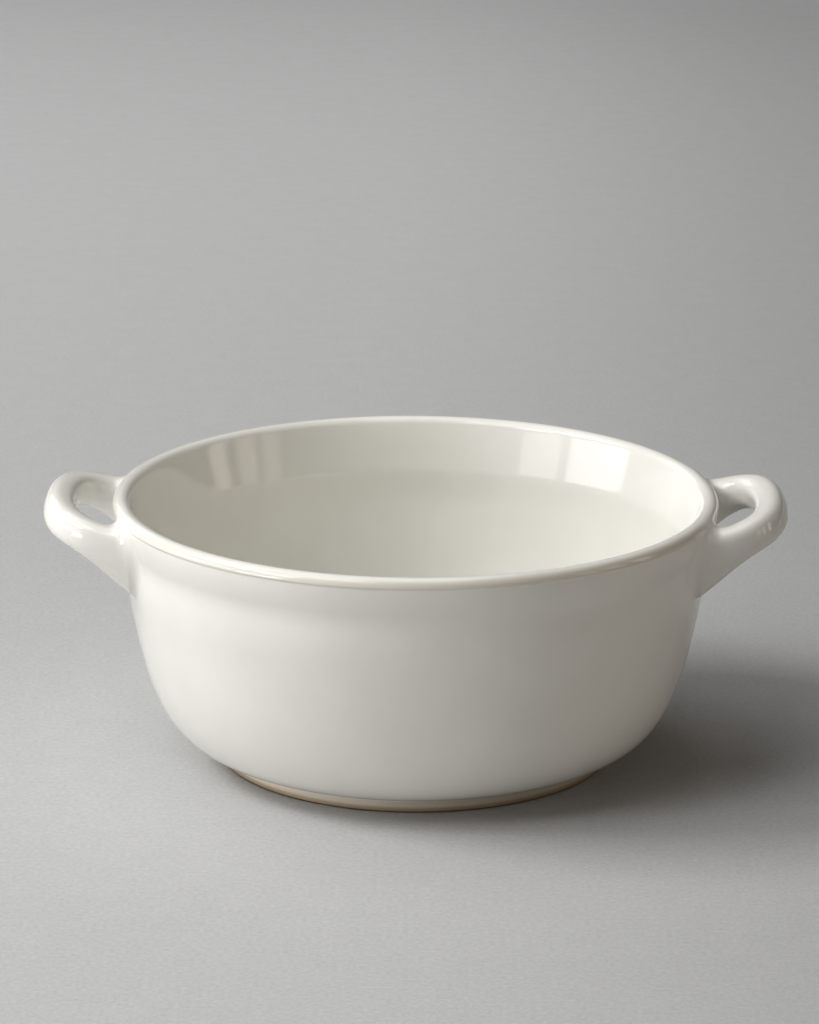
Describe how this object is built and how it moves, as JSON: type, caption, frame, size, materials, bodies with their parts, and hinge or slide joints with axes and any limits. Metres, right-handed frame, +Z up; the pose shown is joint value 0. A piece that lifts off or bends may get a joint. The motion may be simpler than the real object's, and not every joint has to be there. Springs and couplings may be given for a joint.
{
  "type": "casserole dish",
  "caption": "Round open casserole dish in white-glazed stoneware, with a rounded lip over a collar, upturned loop handles and a bare foot ring.",
  "frame": {"origin": "middle of the foot ring's underside, on the table", "axes": "+Z up through the open mouth, X through the two handles, -Y towards the viewer"},
  "size_m": [0.27, 0.22, 0.0998],
  "materials": {
    "white_glaze": "glossy off-white glaze, a little warmer where it thins over edges",
    "bare_clay": "unglazed, smooth turned stoneware"
  },
  "bodies": {
    "root": {"bowl": "white_glaze", "foot_ring": "bare_clay", "handle_left": "white_glaze", "handle_right": "white_glaze"}
  },
  "joints": []
}
